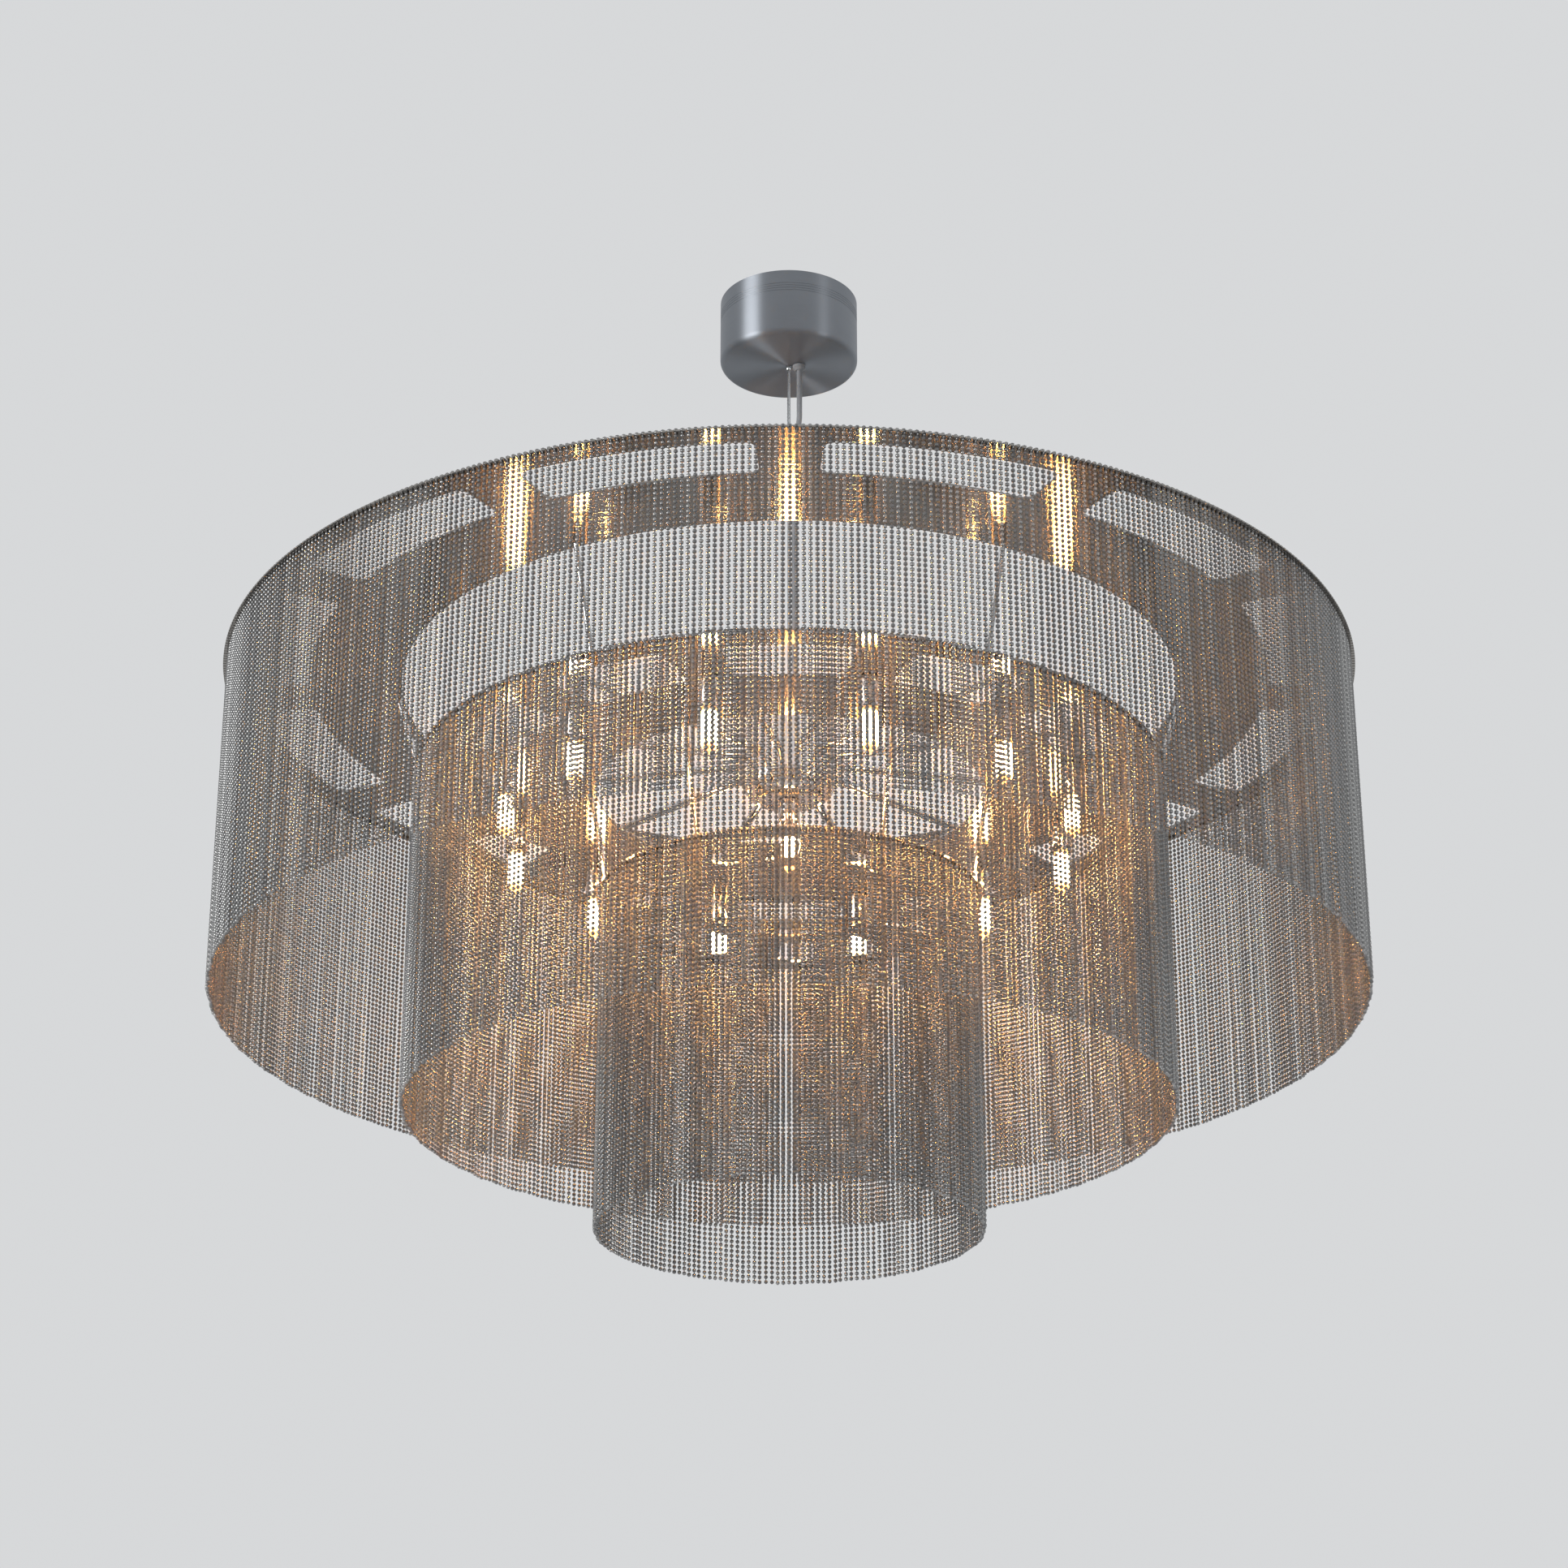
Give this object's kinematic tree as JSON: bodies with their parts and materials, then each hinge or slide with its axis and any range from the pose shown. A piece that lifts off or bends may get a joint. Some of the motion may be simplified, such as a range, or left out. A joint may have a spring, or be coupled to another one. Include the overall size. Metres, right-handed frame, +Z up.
{
  "type": "tiered pendant light",
  "caption": "Tiered round pendant light: ring plates hung with curtains of ball chain round capsule lamps, on a wire rope below a ceiling canopy.",
  "frame": {"origin": "on the ceiling, at the middle of the bracket's top face, on the rope's axis", "axes": "+Z up along the rope, -Y towards the picture's viewer, +X to the viewer's right, towards the flex"},
  "size_m": [1.0092, 1.0092, 0.905],
  "materials": {
    "zinc": "zinc-plated pressed steel",
    "terminal": "moulded, matt",
    "grip": "clear grey moulding",
    "polished": "polished and bright-plated",
    "wire": "stranded wire rope",
    "flex": "translucent grey sheath",
    "plate": "satin above, bright below",
    "lamp": "frosted and lit",
    "chain": "nickel-plated ball chain"
  },
  "bodies": {
    "ceiling": {"ceiling_bracket": "zinc", "terminal_block": "terminal"},
    "canopy": {"canopy_cover": "polished", "cord_grip": "grip", "rope_collar": "polished"},
    "fixture": {"suspension_rope": "wire", "power_flex": "flex", "hub_lid": "polished", "hub_spider": "polished", "outer_plate": "plate", "middle_plate": "plate", "inner_plate": "plate", "tier_post_1": "polished", "tier_post_2": "polished", "tier_post_3": "polished", "tier_post_4": "polished", "tier_post_5": "polished", "tier_post_6": "polished", "lamp_socket_01": "polished", "lamp_socket_02": "polished", "lamp_socket_03": "polished", "lamp_socket_04": "polished", "lamp_socket_05": "polished", "lamp_socket_06": "polished", "lamp_socket_07": "polished", "lamp_socket_08": "polished", "lamp_socket_09": "polished", "lamp_socket_10": "polished", "lamp_socket_11": "polished", "lamp_socket_12": "polished", "lamp_socket_13": "polished", "outer_curtain_1": "chain", "outer_curtain_2": "chain", "outer_curtain_3": "chain", "outer_curtain_4": "chain", "outer_curtain_5": "chain", "outer_curtain_6": "chain", "middle_curtain_1": "chain", "middle_curtain_2": "chain", "middle_curtain_3": "chain", "middle_curtain_4": "chain", "middle_curtain_5": "chain", "inner_curtain_1": "chain", "inner_curtain_2": "chain", "inner_curtain_3": "chain", "inner_curtain_4": "chain", "inner_curtain_5": "chain"},
    "lamp_01": {"capsule_lamp_01": "lamp"},
    "lamp_02": {"capsule_lamp_02": "lamp"},
    "lamp_03": {"capsule_lamp_03": "lamp"},
    "lamp_04": {"capsule_lamp_04": "lamp"},
    "lamp_05": {"capsule_lamp_05": "lamp"},
    "lamp_06": {"capsule_lamp_06": "lamp"},
    "lamp_07": {"capsule_lamp_07": "lamp"},
    "lamp_08": {"capsule_lamp_08": "lamp"},
    "lamp_09": {"capsule_lamp_09": "lamp"},
    "lamp_10": {"capsule_lamp_10": "lamp"},
    "lamp_11": {"capsule_lamp_11": "lamp"},
    "lamp_12": {"capsule_lamp_12": "lamp"},
    "lamp_13": {"capsule_lamp_13": "lamp"}
  },
  "joints": [
    {"name": "canopy_slide", "type": "slide", "parent": "ceiling", "child": "canopy", "axis": [0, 0, -1], "range_m": [0, 0.045], "deforming": ["power_flex"]},
    {"name": "fixture_turn", "type": "hinge", "parent": "ceiling", "child": "fixture", "pos_m": [0, 0, 0], "axis": [0, 0, 1], "range_deg": [-30, 30]},
    {"name": "lamp_01_pull", "type": "slide", "parent": "fixture", "child": "lamp_01", "axis": [0, 0, -1], "range_m": [0, 0.012]},
    {"name": "lamp_02_pull", "type": "slide", "parent": "fixture", "child": "lamp_02", "axis": [0, 0, -1], "range_m": [0, 0.012]},
    {"name": "lamp_03_pull", "type": "slide", "parent": "fixture", "child": "lamp_03", "axis": [0, 0, -1], "range_m": [0, 0.012]},
    {"name": "lamp_04_pull", "type": "slide", "parent": "fixture", "child": "lamp_04", "axis": [0, 0, -1], "range_m": [0, 0.012]},
    {"name": "lamp_05_pull", "type": "slide", "parent": "fixture", "child": "lamp_05", "axis": [0, 0, -1], "range_m": [0, 0.012]},
    {"name": "lamp_06_pull", "type": "slide", "parent": "fixture", "child": "lamp_06", "axis": [0, 0, -1], "range_m": [0, 0.012]},
    {"name": "lamp_07_pull", "type": "slide", "parent": "fixture", "child": "lamp_07", "axis": [0, 0, -1], "range_m": [0, 0.012]},
    {"name": "lamp_08_pull", "type": "slide", "parent": "fixture", "child": "lamp_08", "axis": [0, 0, -1], "range_m": [0, 0.012]},
    {"name": "lamp_09_pull", "type": "slide", "parent": "fixture", "child": "lamp_09", "axis": [0, 0, -1], "range_m": [0, 0.012]},
    {"name": "lamp_10_pull", "type": "slide", "parent": "fixture", "child": "lamp_10", "axis": [0, 0, -1], "range_m": [0, 0.012]},
    {"name": "lamp_11_pull", "type": "slide", "parent": "fixture", "child": "lamp_11", "axis": [0, 0, -1], "range_m": [0, 0.012]},
    {"name": "lamp_12_pull", "type": "slide", "parent": "fixture", "child": "lamp_12", "axis": [0, 0, -1], "range_m": [0, 0.012]},
    {"name": "lamp_13_pull", "type": "slide", "parent": "fixture", "child": "lamp_13", "axis": [0, 0, -1], "range_m": [0, 0.012]}
  ]
}
